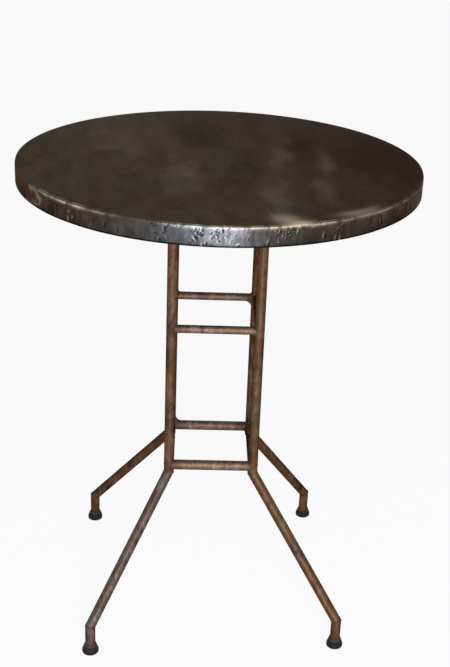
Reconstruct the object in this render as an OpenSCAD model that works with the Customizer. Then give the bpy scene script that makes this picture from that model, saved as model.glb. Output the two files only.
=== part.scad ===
// Round bar table: a metal-clad wooden top on a column of four welded pipes,
// tied by two levels of rungs, with four splayed pipe legs in rubber feet.
// The front of the table is towards -Y, and the floor is at Z = 0.

/* [Top] */
// Diameter of the clad top
top_d = 810; // [600:10:1000]
// Height of the table surface above the floor
table_h = 1000; // [900:10:1150]
// Thickness of each of the two round boards
board_t = 19; // [12:0.5:25]
// Thickness of the metal sheet
sheet_t = 1; // [0.6:0.1:1.5]
// Outside radius of the upper edge of the sheet
upper_edge_r = 5; // [3:0.5:10]
// Outside radius of the lower edge of the sheet
lower_edge_r = 2.5; // [2:0.5:6]
// Gap between the edge of the boards and the turned-down sheet
board_gap = 0.3; // [0.2:0.1:1]

/* [Hem] */
// Width of the hem folded under the boards
hem_w = 24; // [16:1:40]
// Number of tabs that the hem is cut into
tab_count = 24; // [12:1:36]
// Width of each notch at the inner edge of the hem
notch_w = 7; // [3:0.5:12]
// Distance from the inner edge of the hem to the nails
nail_inset = 9; // [7:0.5:12]
// Diameter of a nail head
nail_head_d = 6.5; // [5:0.5:8]
// Thickness of a nail head
nail_head_t = 1; // [0.6:0.1:1.6]
// Diameter of a nail shank
nail_d = 2.2; // [1.6:0.1:3]
// Length of a nail below its head
nail_l = 16; // [10:1:18]

/* [Cross bars] */
// Width of the flat bars under the boards
bar_w = 32; // [28:1:50]
// Thickness of the flat bars
bar_t = 5; // [4:0.5:8]
// Overall length of each arm pair of the cross
bar_l = 470; // [360:10:560]
// Radius of the rounded bar ends
bar_end_r = 6; // [2:1:12]
// Distance from a bar end to its outer screw
outer_screw_inset = 18; // [12:1:40]
// Distance from the centre to the inner screws
inner_screw_reach = 62; // [40:1:80]
// Shank diameter of the wood screws
screw_d = 4.5; // [3.5:0.5:6]
// Head diameter of the countersunk wood screws
screw_head_d = 9; // [8:0.5:12]
// Length of the wood screws
screw_l = 26; // [18:1:28]
// Length of the pointed end of a screw
screw_point = 6; // [4:0.5:8]

/* [Column] */
// Distance between the centre lines of neighbouring posts
column_w = 180; // [140:5:220]
// Turn of the column against the square of the feet
column_turn = -3.4; // [-8:0.1:8]
// Outside diameter of the posts, lower rungs and legs
pipe_d = 21.3; // [19:0.1:26]
// Wall thickness of that pipe
pipe_wall = 2.6; // [1.5:0.1:3.5]
// Outside diameter of the upper rungs
upper_rung_d = 17.2; // [13:0.1:19]
// Wall thickness of the upper rungs
upper_rung_wall = 2.3; // [1.5:0.1:3]
// Height of the centre lines of the upper rungs
upper_rung_z = 668; // [560:1:800]
// Height of the centre lines of the lower rungs
lower_rung_z = 350; // [280:1:420]

/* [Legs] */
// Distance between the centres of neighbouring feet
foot_spacing = 522; // [440:2:620]
// Drop from the underside of the lower rungs to the bend into the legs
hip_drop = 5.4; // [5:0.1:20]
// Height of the bend where a leg turns upright
ankle_z = 64; // [50:1:90]

/* [Feet] */
// Diameter of a rubber foot at the floor
foot_d = 35; // [30:0.5:44]
// Height of a rubber foot
foot_h = 21; // [18:0.5:34]
// Height of the straight lower part of a foot
foot_skirt_h = 7; // [5:0.5:12]
// Wall of the foot's collar round the pipe
collar_wall = 1.6; // [1.2:0.1:4]
// Rubber under the end of the pipe
foot_sole = 5; // [3.5:0.5:8]
// Clearance between the pipe and the socket of the foot
socket_gap = 0.05; // [0.05:0.05:0.3]
// Diameter of the hollow in the sole
sole_hollow_d = 20; // [12:1:24]
// Depth of the hollow in the sole
sole_hollow_h = 1.2; // [0.5:0.1:2]
// Radius of the edge of the foot at the floor
foot_edge_r = 2.5; // [0.5:0.25:4]

/* [Welds] */
// Cove radius of a neat weld between a rung and a post
neat_weld = 3.5; // [2:0.5:5]
// Cove radius of a full weld between a rung and a post
full_weld = 7; // [4:0.5:9]
// Cove radius of a heaped weld between a rung and a post
heavy_weld = 13; // [8:0.5:16]
// Cove radius of the welds at the tops of the posts
top_weld = 4; // [2:0.5:5]

/* [Hidden] */

$fn = 96;

// Corners and sides go round anticlockwise, seen from above
BACK_RIGHT = 0;
BACK_LEFT = 1;
FRONT_LEFT = 2;
FRONT_RIGHT = 3;
BACK = 0;
LEFT = 1;
FRONT = 2;
RIGHT = 3;
QUARTERS = [0 : 3];

// Amount by which cutting shapes overrun what they cut
over = 1;
// Amount by which the tube of a weld is slimmer than the rung it blends into
weld_slim = 0.5;
// Depth to which the tube of a weld is sunk into the pipes, so that its toes bite
weld_sink = 0.5;
// Distance of a weld from the plane that parts it from the next one
weld_gap = 0.1;

sheet_color = "#3B322B";
wood_color = "#B08A5C";
pipe_color = "#6F5646";
bar_color = "#5B5048";
weld_color = "#5E4A3C";
screw_color = "#8C8C88";
rubber_color = "#1C1A19";

// Heights of the top, from the surface down
top_r = top_d / 2;
rim_t = 2 * board_t + 2 * sheet_t;
rim_z = table_h - rim_t;
boards_z = rim_z + sheet_t;
board_r = top_r - sheet_t - board_gap;
hem_inner_r = top_r - hem_w;
nail_circle_r = hem_inner_r + nail_inset;
notch_depth = hem_w - lower_edge_r - sheet_t;

// Cross bars bear on the underside of the boards
bar_z = boards_z - bar_t;
screw_reaches = [inner_screw_reach, bar_l / 2 - outer_screw_inset];

// Pipes
pipe_r = pipe_d / 2;
upper_rung_r = upper_rung_d / 2;
column_half = column_w / 2;
hip_z = lower_rung_z - pipe_r - hip_drop;
foot_half = foot_spacing / 2;
stub_z = foot_sole;
// Room taken by any shape that has to clear a pipe on all sides
reach = 3 * pipe_d;

// Weld sizes above and below each end of a rung: the end met first going
// anticlockwise, then the other end
upper_weld_sizes = [
    [[full_weld, heavy_weld], [full_weld, neat_weld]],
    [[neat_weld, neat_weld], [neat_weld, full_weld]],
    [[neat_weld, neat_weld], [neat_weld, full_weld]],
    [[neat_weld, full_weld], [neat_weld, neat_weld]]
];
lower_weld_sizes = [
    [[neat_weld, full_weld], [heavy_weld, neat_weld]],
    [[full_weld, neat_weld], [neat_weld, neat_weld]],
    [[neat_weld, neat_weld], [neat_weld, neat_weld]],
    [[full_weld, neat_weld], [neat_weld, full_weld]]
];

function unit(v) = v / norm(v);
function turned(x, y, angle) = [
    x * cos(angle) - y * sin(angle),
    x * sin(angle) + y * cos(angle)
];
function corner_angle(corner) = 90 * corner;
function hip_at(corner) = concat(
    turned(column_half, column_half, corner_angle(corner) + column_turn), [hip_z]
);
function ankle_at(corner) = concat(
    turned(foot_half, foot_half, corner_angle(corner)), [ankle_z]
);
function leg_way(corner) = unit(ankle_at(corner) - hip_at(corner));
function tab_angle(tab) = 360 * (tab + 0.5) / tab_count;

DOWN = [0, 0, -1];

// Places children at a point with their Z axis along a direction
module aimed(at, way) {
    translate(at)
        rotate([0, acos(way[2] / norm(way)), atan2(way[1], way[0])])
            children();
}

// Everything past a plane through a point, on the side its normal points to
module beyond(at, normal) {
    aimed(at, normal)
        translate([-reach, -reach, 0])
            cube([2 * reach, 2 * reach, 2 * reach]);
}

// Solid round bar from one point to another, run on past both ends
module bar_between(start, end, r, run_on) {
    aimed(start, end - start)
        translate([0, 0, -run_on])
            cylinder(r = r, h = norm(end - start) + 2 * run_on);
}

// Pipe from one point to another, run on past both ends
module pipe_between(start, end, r, wall, run_on) {
    difference() {
        bar_between(start, end, r, run_on);
        bar_between(start, end, r - wall, run_on + over);
    }
}

// Turned with the column, for a corner or a side of it
module on_column(quarter) {
    rotate(corner_angle(quarter) + column_turn)
        children();
}

// Space of the back quarter, between the planes through the back posts
module back_quarter(z, half_h, inset) {
    rotate(45)
        translate([inset, inset, z - half_h])
            cube([column_w, column_w, 2 * half_h]);
}

// Section of a round board or sheet with rounded outer corners
module rim_section(r, h, upper_r, lower_r) {
    difference() {
        square([r, h]);
        translate([r - upper_r, h - upper_r])
            edge_waste(upper_r);
        translate([r - lower_r, lower_r])
            mirror([0, 1])
                edge_waste(lower_r);
    }
}

// What rounding an upper right corner takes off
module edge_waste(r) {
    difference() {
        square(r + over);
        circle(r);
    }
}

// Tapered notches that let the hem fold flat
module hem_notches() {
    for (tab = [0 : tab_count - 1])
        rotate(360 * tab / tab_count)
            translate([hem_inner_r, 0, rim_z - over])
                linear_extrude(sheet_t + over)
                    polygon([[-over, -notch_w / 2], [notch_depth, 0], [-over, notch_w / 2]]);
}

module nail() {
    rotate_extrude()
        polygon([
            [0, -nail_head_t], [nail_head_d / 2, -nail_head_t], [nail_head_d / 2, 0],
            [nail_d / 2, 0], [nail_d / 2, nail_l - 2 * nail_d], [0, nail_l]
        ]);
}

module nails() {
    for (tab = [0 : tab_count - 1])
        rotate(tab_angle(tab))
            translate([nail_circle_r, 0, rim_z])
                nail();
}

module screw() {
    head_h = (screw_head_d - screw_d) / 2;
    rotate_extrude()
        polygon([
            [0, 0], [screw_head_d / 2, 0], [screw_d / 2, head_h],
            [screw_d / 2, screw_l - screw_point], [0, screw_l]
        ]);
}

module screws() {
    for (quarter = QUARTERS)
        for (distance = screw_reaches)
            on_column(quarter)
                rotate(45)
                    translate([distance, 0, bar_z])
                        screw();
}

module top_sheet() {
    color(sheet_color)
        difference() {
            translate([0, 0, rim_z])
                rotate_extrude($fn = 180)
                    difference() {
                        rim_section(top_r, rim_t, upper_edge_r, lower_edge_r);
                        translate([0, sheet_t])
                            rim_section(
                                top_r - sheet_t, rim_t - 2 * sheet_t,
                                upper_edge_r - sheet_t, lower_edge_r - sheet_t
                            );
                        translate([0, -over])
                            square([hem_inner_r, sheet_t + 2 * over]);
                    }
            hem_notches();
            nails();
        }
}

module upper_board() {
    color(wood_color)
        difference() {
            translate([0, 0, boards_z + board_t])
                rotate_extrude($fn = 180)
                    difference() {
                        square([board_r, board_t]);
                        translate([board_r - upper_edge_r + sheet_t, board_t - upper_edge_r + sheet_t])
                            edge_waste(upper_edge_r - sheet_t);
                    }
            screws();
        }
}

module lower_board() {
    color(wood_color)
        difference() {
            translate([0, 0, boards_z])
                rotate_extrude($fn = 180)
                    difference() {
                        square([board_r, board_t]);
                        translate([board_r - lower_edge_r + sheet_t, lower_edge_r - sheet_t])
                            mirror([0, 1])
                                edge_waste(lower_edge_r - sheet_t);
                    }
            screws();
            nails();
        }
}

module hem_nails() {
    color(screw_color)
        nails();
}

module bar_screws() {
    color(screw_color)
        screws();
}

// Flat bar along X with rounded corners at one or both ends
module flat_bar(from, to, round_from) {
    linear_extrude(bar_t)
        difference() {
            translate([from, -bar_w / 2])
                square([to - from, bar_w]);
            for (side = [-1, 1]) {
                translate([to - bar_end_r, side * (bar_w / 2 - bar_end_r)])
                    scale_flip(1, side)
                        edge_waste(bar_end_r);
                if (round_from)
                    translate([from + bar_end_r, side * (bar_w / 2 - bar_end_r)])
                        scale_flip(-1, side)
                            edge_waste(bar_end_r);
            }
        }
}

// Flips children across the axes where a sign is negative
module scale_flip(x_sign, y_sign) {
    mirror([x_sign < 0 ? 1 : 0, 0])
        mirror([0, y_sign < 0 ? 1 : 0])
            children();
}

module long_cross_bar() {
    color(bar_color)
        difference() {
            on_column(BACK_RIGHT)
                rotate(45)
                    translate([0, 0, bar_z])
                        flat_bar(-bar_l / 2, bar_l / 2, true);
            screws();
        }
}

// Half bar that butts against the side of the long cross bar
module half_bar(corner) {
    color(bar_color)
        difference() {
            on_column(corner)
                rotate(45)
                    translate([0, 0, bar_z])
                        flat_bar(bar_w / 2, bar_l / 2, false);
            screws();
        }
}

// Upright pipe from the cross bars down to the mitred bend at its foot
module post(corner) {
    hip = hip_at(corner);
    head = [hip[0], hip[1], bar_z];
    color(pipe_color)
        difference() {
            pipe_between(head, hip, pipe_r, pipe_wall, reach / 2);
            beyond(head, -DOWN);
            beyond(hip, unit(DOWN + leg_way(corner)));
        }
}

// Splayed pipe, mitred to its post above and to its ankle below
module leg(corner) {
    hip = hip_at(corner);
    ankle = ankle_at(corner);
    color(pipe_color)
        difference() {
            pipe_between(hip, ankle, pipe_r, pipe_wall, reach / 2);
            beyond(hip, -unit(DOWN + leg_way(corner)));
            beyond(ankle, unit(DOWN + leg_way(corner)));
        }
}

// Short upright pipe from the lower bend into the rubber foot
module ankle(corner) {
    bend = ankle_at(corner);
    tip = [bend[0], bend[1], stub_z];
    color(pipe_color)
        difference() {
            pipe_between(bend, tip, pipe_r, pipe_wall, reach / 2);
            beyond(bend, -unit(DOWN + leg_way(corner)));
            beyond(tip, DOWN);
        }
}

// Rubber ferrule: straight skirt, tapered shoulder and collar, blind socket
module foot(corner) {
    place = ankle_at(corner);
    collar_r = pipe_r + socket_gap + collar_wall;
    color(rubber_color)
        translate([place[0], place[1], 0])
            rotate_extrude()
                difference() {
                    polygon([
                        [0, 0], [foot_d / 2, 0], [foot_d / 2, foot_skirt_h],
                        [collar_r, foot_h], [0, foot_h]
                    ]);
                    translate([0, foot_sole])
                        square([pipe_r + socket_gap, foot_h]);
                    translate([0, -over])
                        square([sole_hollow_d / 2, sole_hollow_h + over]);
                    translate([foot_d / 2 - foot_edge_r, foot_edge_r])
                        mirror([0, 1])
                            edge_waste(foot_edge_r);
                }
}

// Posts as seen from the back side: solid bars that the rungs are cut to fit
module back_posts(z, half_h) {
    for (side = [-1, 1])
        translate([side * column_half, column_half, z - half_h])
            cylinder(r = pipe_r, h = 2 * half_h);
}

// Pipe between two posts, with its ends cut to the round of the posts
module rung(side, r, wall, z) {
    color(pipe_color)
        on_column(side)
            intersection() {
                back_quarter(z, reach, 0);
                difference() {
                    pipe_between(
                        [-column_half, column_half, z], [column_half, column_half, z],
                        r, wall, 0
                    );
                    back_posts(z, reach);
                }
            }
}

module upper_rung(side) {
    rung(side, upper_rung_r, upper_rung_wall, upper_rung_z);
}

module lower_rung(side) {
    rung(side, pipe_r, pipe_wall, lower_rung_z);
}

// Weld in the corner above a rung along +X from a post at the origin: a bent
// round bar that blends into the rung and the post, seen as a cove
module corner_weld(rung_r, size) {
    tube_r = rung_r - weld_slim;
    bend_offset = size - weld_sink;
    translate([pipe_r + bend_offset, 0, rung_r + bend_offset])
        rotate([90, 0, 0])
            rotate(180)
                rotate_extrude(angle = 90)
                    translate([size + tube_r, 0])
                        circle(tube_r);
}

// Welds above and below both ends of one rung, cut to the pipes they join
module rung_welds(side, rung_r, z, sizes) {
    on_column(side)
        intersection() {
            back_quarter(z, reach, weld_gap);
            difference() {
                for (end = [0, 1])
                    translate([(1 - 2 * end) * column_half, column_half, z])
                        for (below = [0, 1])
                            mirror([end == 0 ? 1 : 0, 0, 0])
                                mirror([0, 0, below])
                                    corner_weld(rung_r, sizes[end][below]);
                back_posts(z, reach);
                bar_between(
                    [-column_half, column_half, z], [column_half, column_half, z],
                    rung_r, 0
                );
            }
        }
}

module upper_rung_welds() {
    color(weld_color)
        for (side = QUARTERS)
            rung_welds(side, upper_rung_r, upper_rung_z, upper_weld_sizes[side]);
}

module lower_rung_welds() {
    color(weld_color)
        for (side = QUARTERS)
            rung_welds(side, pipe_r, lower_rung_z, lower_weld_sizes[side]);
}

// Cove of weld round the head of each post, under the cross bars
module post_top_welds() {
    color(weld_color)
        for (corner = QUARTERS)
            translate([hip_at(corner)[0], hip_at(corner)[1], bar_z - top_weld])
                rotate_extrude()
                    difference() {
                        translate([pipe_r, 0])
                            square(top_weld);
                        translate([pipe_r + top_weld, 0])
                            circle(top_weld);
                    }
}

top_sheet();
upper_board();
lower_board();
hem_nails();
long_cross_bar();
half_bar(BACK_LEFT);  // left_half_bar
half_bar(FRONT_RIGHT);  // right_half_bar
bar_screws();
post(BACK_RIGHT);  // post_back_right
post(BACK_LEFT);  // post_back_left
post(FRONT_LEFT);  // post_front_left
post(FRONT_RIGHT);  // post_front_right
upper_rung(BACK);  // upper_rung_back
upper_rung(LEFT);  // upper_rung_left
upper_rung(FRONT);  // upper_rung_front
upper_rung(RIGHT);  // upper_rung_right
lower_rung(BACK);  // lower_rung_back
lower_rung(LEFT);  // lower_rung_left
lower_rung(FRONT);  // lower_rung_front
lower_rung(RIGHT);  // lower_rung_right
leg(BACK_RIGHT);  // leg_back_right
leg(BACK_LEFT);  // leg_back_left
leg(FRONT_LEFT);  // leg_front_left
leg(FRONT_RIGHT);  // leg_front_right
ankle(BACK_RIGHT);  // ankle_back_right
ankle(BACK_LEFT);  // ankle_back_left
ankle(FRONT_LEFT);  // ankle_front_left
ankle(FRONT_RIGHT);  // ankle_front_right
foot(BACK_RIGHT);  // foot_back_right
foot(BACK_LEFT);  // foot_back_left
foot(FRONT_LEFT);  // foot_front_left
foot(FRONT_RIGHT);  // foot_front_right
post_top_welds();
upper_rung_welds();
lower_rung_welds();
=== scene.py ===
"""Dresses the bar table: hammered metal-clad top, rusted pipe frame, weld beads and rubber feet."""

import logging
import math
from collections.abc import Iterable, Iterator, Sequence
from dataclasses import dataclass, field
from enum import Enum

import bmesh
import bpy
import numpy as np
from mathutils import Matrix, Vector


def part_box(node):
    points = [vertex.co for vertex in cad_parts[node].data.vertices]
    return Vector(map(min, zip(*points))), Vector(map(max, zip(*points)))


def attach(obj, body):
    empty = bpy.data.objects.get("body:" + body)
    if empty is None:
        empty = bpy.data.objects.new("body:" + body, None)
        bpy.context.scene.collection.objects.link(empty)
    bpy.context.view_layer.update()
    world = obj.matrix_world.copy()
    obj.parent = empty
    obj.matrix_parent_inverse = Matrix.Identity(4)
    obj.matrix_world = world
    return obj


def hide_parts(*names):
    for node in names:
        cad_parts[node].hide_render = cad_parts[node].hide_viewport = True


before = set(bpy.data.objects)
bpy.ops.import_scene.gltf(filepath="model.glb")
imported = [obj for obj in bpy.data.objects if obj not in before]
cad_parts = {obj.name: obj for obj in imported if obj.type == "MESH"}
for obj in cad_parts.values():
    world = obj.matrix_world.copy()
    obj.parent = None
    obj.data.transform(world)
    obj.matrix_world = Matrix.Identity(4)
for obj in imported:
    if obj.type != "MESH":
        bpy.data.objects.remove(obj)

LOG = logging.getLogger("bar_table")
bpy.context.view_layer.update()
ROOT = "root"
MM = 0.001
CORNERS = ("back_right", "back_left", "front_left", "front_right")
SIDES = ("back", "left", "front", "right")
INSIDE = 0.999  # keeps a place on the far edge of the top out of the noise's next turn
NOISE = (0.3, 0.7)  # where nearly all values of a noise lie
STRAIGHT_DEG = 89.0  # half a corner this wide or wider counts as straight

# Sockets of the colour form of the Mix node
MIX_A = 6
MIX_B = 7
MIX_OUT = 2


class Slot(Enum):
    """Names of material slots of the record for the pieces built here."""

    SHEET = "patinated_sheet"
    WELD = "weld"
    RUBBER = "rubber"


def linear(hex_colour: str) -> tuple[float, float, float, float]:
    """Turns an sRGB hex colour into linear RGBA.

    Args:
        hex_colour: Colour such as "#6B4C38".

    Returns:
        Linear red, green, blue and an alpha of 1.
    """
    digits = hex_colour.lstrip("#")
    channels = [int(digits[i:i + 2], 16) / 255 for i in (0, 2, 4)]
    curved = [c / 12.92 if c <= 0.04045 else ((c + 0.055) / 1.055) ** 2.4 for c in channels]
    return (curved[0], curved[1], curved[2], 1.0)


def per_metre(feature_mm: float) -> float:
    """Noise scale whose features are about feature_mm across."""
    return 1.0 / (feature_mm * MM)


def add_node(
    tree: bpy.types.NodeTree,
    kind: str,
    settings: dict | None = None,
    values: dict | None = None,
    links: dict | None = None,
    stops: Sequence[tuple[float, str]] = (),
) -> bpy.types.Node:
    """Adds a node with its settings and links.

    Args:
        tree: Node tree to add to.
        kind: Blender's name for the kind of node.
        settings: Attributes of the node.
        values: Constants for its input sockets, by name or index.
        links: Output sockets to join to its inputs, by name or index.
        stops: Places and hex colours of a colour ramp, with its two ends first.

    Returns:
        The new node.
    """
    node = tree.nodes.new(kind)
    for name, value in (settings or {}).items():
        setattr(node, name, value)
    for socket, value in (values or {}).items():
        node.inputs[socket].default_value = value
    for socket, source in (links or {}).items():
        tree.links.new(source, node.inputs[socket])
    for number, (place, colour) in enumerate(stops):
        element = node.color_ramp.elements[number] if number < 2 else node.color_ramp.elements.new(place)
        element.position = place
        element.color = linear(colour)
    return node


def seen_ray(tree: bpy.types.NodeTree) -> bpy.types.NodeSocket:
    """Tells what is seen, directly or in a reflection, from light on a surface.

    Args:
        tree: Node tree to add to.

    Returns:
        A socket that is 1 for what is seen and 0 for light.
    """
    paths = add_node(tree, "ShaderNodeLightPath")
    seen = paths.outputs["Is Camera Ray"]
    for kind in ("Is Glossy Ray", "Is Transmission Ray"):
        seen = add_node(
            tree, "ShaderNodeMath", {"operation": "MAXIMUM"}, links={0: seen, 1: paths.outputs[kind]}
        ).outputs["Value"]
    return seen


@dataclass(frozen=True)
class Finish:
    """What every finish holds: a name and the constants of its shader."""

    name: str
    metallic: float = 0.0
    ior: float = 1.5
    specular: float = 0.5
    edge_tint: str = "#FFFFFF"

    def material(self) -> bpy.types.Material:
        """Makes the material and hands its tree to paint().

        Returns:
            The finished material.
        """
        material = bpy.data.materials.new(self.name)
        material.use_nodes = True
        tree = material.node_tree
        shader = tree.nodes["Principled BSDF"]
        shader.inputs["Metallic"].default_value = self.metallic
        shader.inputs["IOR"].default_value = self.ior
        shader.inputs["Specular IOR Level"].default_value = self.specular
        shader.inputs["Specular Tint"].default_value = linear(self.edge_tint)
        self.paint(tree, shader)
        return material

    def paint(self, tree: bpy.types.NodeTree, shader: bpy.types.Node) -> None:
        """Adds the nodes that colour the shader."""
        raise NotImplementedError

    def position(self, tree: bpy.types.NodeTree) -> bpy.types.NodeSocket:
        """Socket that gives the place on the table in metres."""
        return add_node(tree, "ShaderNodeTexCoord").outputs["Object"]

    def noise(
        self, tree: bpy.types.NodeTree, where: bpy.types.NodeSocket, feature_mm: float,
        detail: float = 3.0, roughness: float = 0.5, distortion: float = 0.0,
    ) -> bpy.types.NodeSocket:
        """Noise whose features have a real size.

        Args:
            tree: Node tree to add to.
            where: Socket that gives the place.
            feature_mm: Size of the features.
            detail: Number of finer layers.
            roughness: Strength of the finer layers.
            distortion: How far the noise is pulled about.

        Returns:
            The socket of the noise, about 0.3 to 0.7.
        """
        values = {
            "Scale": per_metre(feature_mm), "Detail": detail,
            "Roughness": roughness, "Distortion": distortion,
        }
        return add_node(tree, "ShaderNodeTexNoise", values=values, links={"Vector": where}).outputs["Fac"]

    def between(
        self, tree: bpy.types.NodeTree, value: bpy.types.NodeSocket,
        source: tuple[float, float], target: tuple[float, float],
    ) -> bpy.types.NodeSocket:
        """Maps a value from one range to another, held at its ends.

        Args:
            tree: Node tree to add to.
            value: Socket that gives the value.
            source: Range that the value comes from.
            target: Range that it is mapped to.

        Returns:
            The socket of the mapped value.
        """
        values = {1: source[0], 2: source[1], 3: target[0], 4: target[1]}
        return add_node(
            tree, "ShaderNodeMapRange", {"clamp": True}, values, {0: value}
        ).outputs["Result"]

    def blend(
        self, tree: bpy.types.NodeTree, share: bpy.types.NodeSocket,
        below: bpy.types.NodeSocket | str, above: bpy.types.NodeSocket | str,
    ) -> bpy.types.NodeSocket:
        """Lays one colour over another by a share.

        Args:
            tree: Node tree to add to.
            share: How much of the upper colour shows.
            below: Socket or hex colour underneath.
            above: Socket or hex colour on top.

        Returns:
            The blended colour.
        """
        values = {}
        links = {0: share}
        for socket, colour in ((MIX_A, below), (MIX_B, above)):
            if isinstance(colour, str):
                values[socket] = linear(colour)
            else:
                links[socket] = colour
        return add_node(tree, "ShaderNodeMix", {"data_type": "RGBA"}, values, links).outputs[MIX_OUT]

    def relief(
        self, tree: bpy.types.NodeTree, shader: bpy.types.Node,
        height: bpy.types.NodeSocket, depth_mm: float,
    ) -> None:
        """Roughens the surface.

        Args:
            tree: Node tree of the material.
            shader: Its Principled shader.
            height: Socket that gives the height from 0 to 1.
            depth_mm: Depth of the whole height.
        """
        bump = add_node(
            tree, "ShaderNodeBump", values={"Distance": depth_mm * MM, "Strength": 1.0},
            links={"Height": height},
        )
        tree.links.new(bump.outputs["Normal"], shader.inputs["Normal"])


@dataclass(frozen=True)
class RustedPipe(Finish):
    """Steel water pipe, rusted and then waxed: mottled browns under a soft sheen, dark at its sides."""

    name: str = "Steel pipe, rusted and waxed"
    metallic: float = 0.6
    specular: float = 0.0
    edge_tint: str = "#16110E"
    purple: str = "#442F27"
    brown: str = "#553C2C"
    orange: str = "#664530"
    olive: str = "#51452F"
    dust: str = "#867060"
    pit: str = "#211813"
    stretch: tuple[float, float, float] = (1.0, 1.0, 0.4)
    patch_mm: float = 42.0
    mottle_mm: float = 12.0
    pit_mm: float = 2.8
    relief_mm: float = 0.14
    dust_over: tuple[float, float] = (0.46, 0.68)
    dust_share: float = 0.5
    pit_over: tuple[float, float] = (0.51, 0.67)
    pit_share: float = 0.7
    rough: tuple[float, float] = (0.42, 0.60)

    def paint(self, tree: bpy.types.NodeTree, shader: bpy.types.Node) -> None:
        """Patches of rust, rubbed dust and dark pits.

        Args:
            tree: Node tree of the material.
            shader: Its Principled shader.
        """
        where = self.position(tree)
        drawn = add_node(
            tree, "ShaderNodeMapping", values={"Scale": self.stretch}, links={"Vector": where}
        ).outputs["Vector"]
        patches = self.noise(tree, drawn, self.patch_mm, 3.0, 0.6, 0.5)
        colours = add_node(
            tree, "ShaderNodeValToRGB", links={"Fac": patches},
            stops=[(0.36, self.purple), (0.64, self.olive), (0.46, self.brown), (0.55, self.orange)],
        ).outputs["Color"]
        mottle = self.noise(tree, drawn, self.mottle_mm, 5.0, 0.62)
        dusty = self.between(tree, mottle, self.dust_over, (0.0, self.dust_share))
        colours = self.blend(tree, dusty, colours, self.dust)
        pits = self.noise(tree, where, self.pit_mm, 6.0, 0.65)
        pitted = self.between(tree, pits, self.pit_over, (0.0, self.pit_share))
        colours = self.blend(tree, pitted, colours, self.pit)
        tree.links.new(colours, shader.inputs["Base Color"])
        tree.links.new(self.between(tree, mottle, NOISE, self.rough), shader.inputs["Roughness"])
        self.relief(tree, shader, pits, self.relief_mm)


@dataclass(frozen=True)
class RubbedPipe(RustedPipe):
    """The same pipe rubbed back nearer to the steel: greyer, with a purple cast."""

    name: str = "Steel pipe, rusted, rubbed and waxed"
    purple: str = "#594744"
    brown: str = "#6B5648"
    orange: str = "#745745"
    olive: str = "#645A4C"
    dust: str = "#A69388"
    pit: str = "#2C221E"
    end_brown: str = "#4F392C"
    end_share: float = 0.75
    fade_mm: tuple[float, float] = (62.0, 80.0)

    def paint(self, tree: bpy.types.NodeTree, shader: bpy.types.Node) -> None:
        """Rubbed along the middle of the rung, and brown as the posts near its welds.

        Args:
            tree: Node tree of the material.
            shader: Its Principled shader.
        """
        super().paint(tree, shader)
        rubbed = shader.inputs["Base Color"].links[0].from_socket
        place = add_node(tree, "ShaderNodeSeparateXYZ", links={0: self.position(tree)}).outputs["X"]
        out = add_node(
            tree, "ShaderNodeMath", {"operation": "ABSOLUTE"}, links={0: place}).outputs["Value"]
        fade = (self.fade_mm[0] * MM, self.fade_mm[1] * MM)
        share = self.between(tree, out, fade, (0.0, self.end_share))
        tree.links.new(self.blend(tree, share, rubbed, self.end_brown), shader.inputs["Base Color"])


@dataclass(frozen=True)
class GreyedPipe(RustedPipe):
    """The same pipe, rubbed and dulled again: a darker grey-brown."""

    name: str = "Steel pipe, rusted, rubbed and dulled"
    purple: str = "#483B39"
    brown: str = "#544640"
    orange: str = "#5C483E"
    olive: str = "#4F4943"
    dust: str = "#8A7F7A"
    pit: str = "#2C221E"


@dataclass(frozen=True)
class WeldMetal(RustedPipe):
    """Arc-weld metal, rusted with the pipes: a darker and rougher brown."""

    name: str = "Weld metal, rusted"
    purple: str = "#43322C"
    brown: str = "#523C2F"
    orange: str = "#62442F"
    olive: str = "#4E4432"
    dust: str = "#7D6A5B"
    patch_mm: float = 22.0
    mottle_mm: float = 6.0
    pit_mm: float = 1.8
    relief_mm: float = 0.22


@dataclass(frozen=True)
class FlatBarSteel(RustedPipe):
    """Hot-rolled flat bar with its mill scale: grey-brown and dull."""

    name: str = "Flat bar steel, hot rolled"
    purple: str = "#3C3634"
    brown: str = "#4A403A"
    orange: str = "#664732"
    olive: str = "#4C463E"
    dust: str = "#7D7268"


class RimTint(Enum):
    """Tints of the rim, from thick patina to steel worn bare, with painted sheen, reflection and
    highlights among them.
    """

    UMBER = "#42362E"  # thin brown patina under wax
    RUST_AND_WARM_SHEEN = "#643C1C"  # thick brown patina, which hides the metal, under a painted warm reflection at the rim's two ends
    SCUFF = "#8C786C"  # patina scraped thin by a knock
    SMOKE = "#4E4C4A"  # patina worn grey, and round the front of the rim a painted grey sheen
    STEEL_SHEEN = "#5E6168"  # painted blue-grey sheen at the front of the rim, on steel worn almost bare
    BARE_GLINT = "#EAEAEE"  # painted white highlight at the front of the rounded edge, on steel that hands and sleeves keep bright
    WAX_AND_GLINT = "#F6EAD2"  # painted golden highlight along the rounded edge, on bare steel under yellowed wax


@dataclass(frozen=True)
class RimArea:
    """Area round the rim in another tint, for worn patina and for painted sheen and highlights: its
    middle, half width and strength.
    """

    angle_deg: float
    reach_deg: float
    tint: RimTint
    strength: float

    def cover(self, angle_deg: np.ndarray) -> np.ndarray:
        """How far the area covers the places at some angles, from 0 to its strength."""
        away = (angle_deg - self.angle_deg + 180.0) % 360.0 - 180.0
        return self.strength * np.exp(-(away / self.reach_deg) ** 2)


class Tint(Enum):
    """Tints of the painted reflections on the top, laid in as soft patches in its patina."""

    HAZE = "#675B51"
    SHADE = "#1F1711"
    MAUVE = "#4C3C3A"
    STRAW = "#DACBA8"
    PALE_REFLECTION = "#B4A494"
    OLIVE = "#787258"


@dataclass(frozen=True)
class Cloud:
    """Soft painted reflection on the top, laid in as a patch of patina: place, half widths, turn and
    raggedness on the top, in mm and degrees.
    """

    x: float
    y: float
    across: float
    along: float
    turn_deg: float
    strength: float
    tint: Tint
    ragged: float = 16.0


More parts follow.
